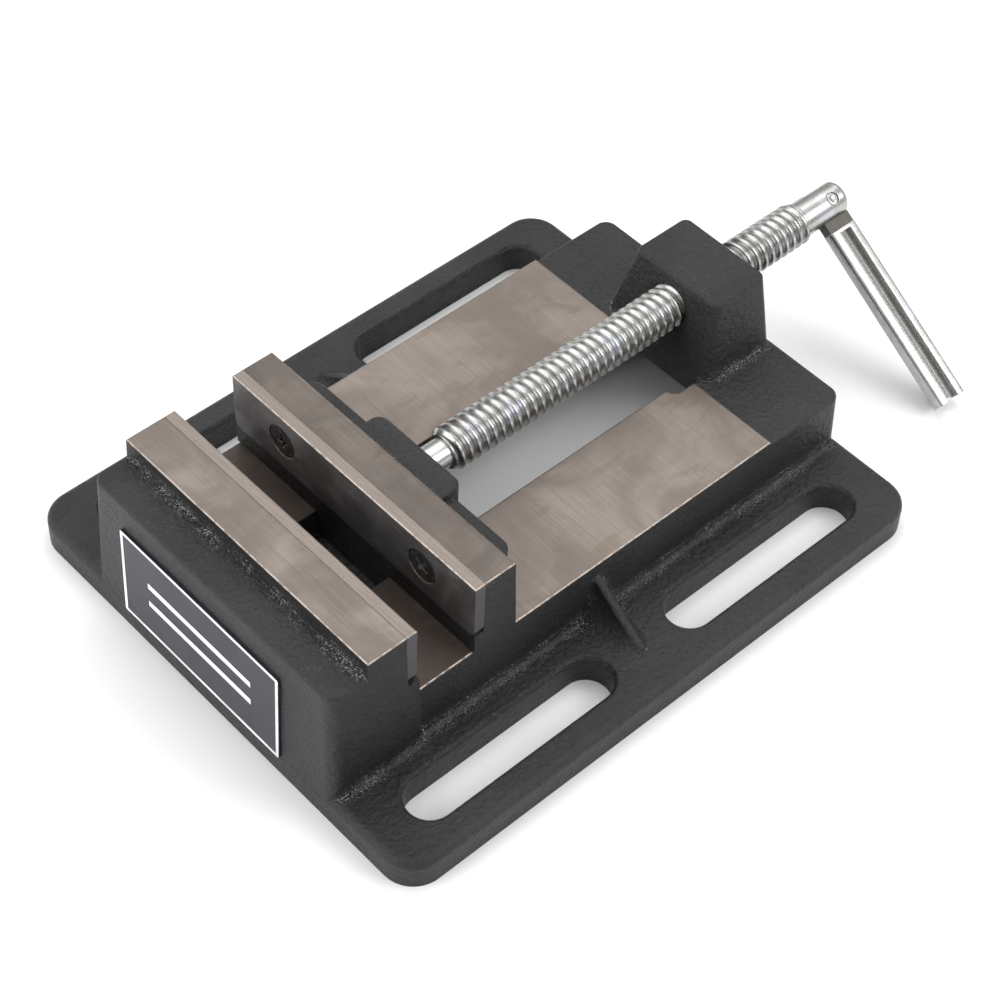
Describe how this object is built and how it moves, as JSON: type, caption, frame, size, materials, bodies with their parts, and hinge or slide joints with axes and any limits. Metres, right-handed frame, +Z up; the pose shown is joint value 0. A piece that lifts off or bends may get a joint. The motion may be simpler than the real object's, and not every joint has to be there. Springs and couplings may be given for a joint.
{
  "type": "drill press vise",
  "caption": "Low machine vise: slotted base, fixed and sliding jaws with bolted plates, screw in a tapered nut block and a folding channel crank.",
  "frame": {"origin": "centre of the pattern of four slots, on the underside of the base", "axes": "+X along the screw from the fixed jaw towards the crank, +Y to the left along the jaws, +Z up from the table"},
  "size_m": [0.2437, 0.164, 0.0564],
  "materials": {
    "casting_black": "black semi-gloss paint over sand casting, rail tops machined bare",
    "jaw_casting": "machined bare iron top and front, black painted rear",
    "jaw_plate_steel": "ground steel",
    "keeper_steel": "dark mill finish",
    "screw_steel": "black oxide, worn on the edges",
    "zinc_steel": "bright zinc plate",
    "label_plate": "dark blue-grey enamel with a thin light border, no lettering"
  },
  "bodies": {
    "base": {"base_casting": "casting_black", "name_plate": "label_plate", "fixed_jaw_plate": "jaw_plate_steel", "fixed_plate_screw_left": "screw_steel", "fixed_plate_screw_right": "screw_steel"},
    "jaw": {"moving_jaw": "jaw_casting", "moving_jaw_plate": "jaw_plate_steel", "moving_plate_screw_left": "screw_steel", "moving_plate_screw_right": "screw_steel", "keeper_plate": "keeper_steel", "keeper_bolt_left": "screw_steel", "keeper_bolt_right": "screw_steel", "keeper_washer_left": "screw_steel", "keeper_washer_right": "screw_steel", "retaining_pin_left": "screw_steel", "retaining_pin_right": "screw_steel"},
    "screw": {"lead_screw": "zinc_steel", "crank_hinge_pin": "zinc_steel"},
    "crank": {"crank_handle": "zinc_steel"}
  },
  "joints": [
    {"name": "jaw_slide", "type": "slide", "parent": "base", "child": "jaw", "axis": [1, 0, 0], "range_m": [-0.0197, 0.08]},
    {"name": "screw_turn", "type": "hinge", "parent": "jaw", "child": "screw", "pos_m": [0, 0, 0.043], "axis": [1, 0, 0], "range_deg": [-2365, 9601]},
    {"name": "crank_fold", "type": "hinge", "parent": "screw", "child": "crank", "pos_m": [0.1395, 0, 0.043], "axis": [0, -0.5519, 0.8339], "range_deg": [0, 180]}
  ],
  "couplings": [
    {"joint": "screw_turn", "follows": "jaw_slide", "rad_per_m": 2094.4}
  ]
}
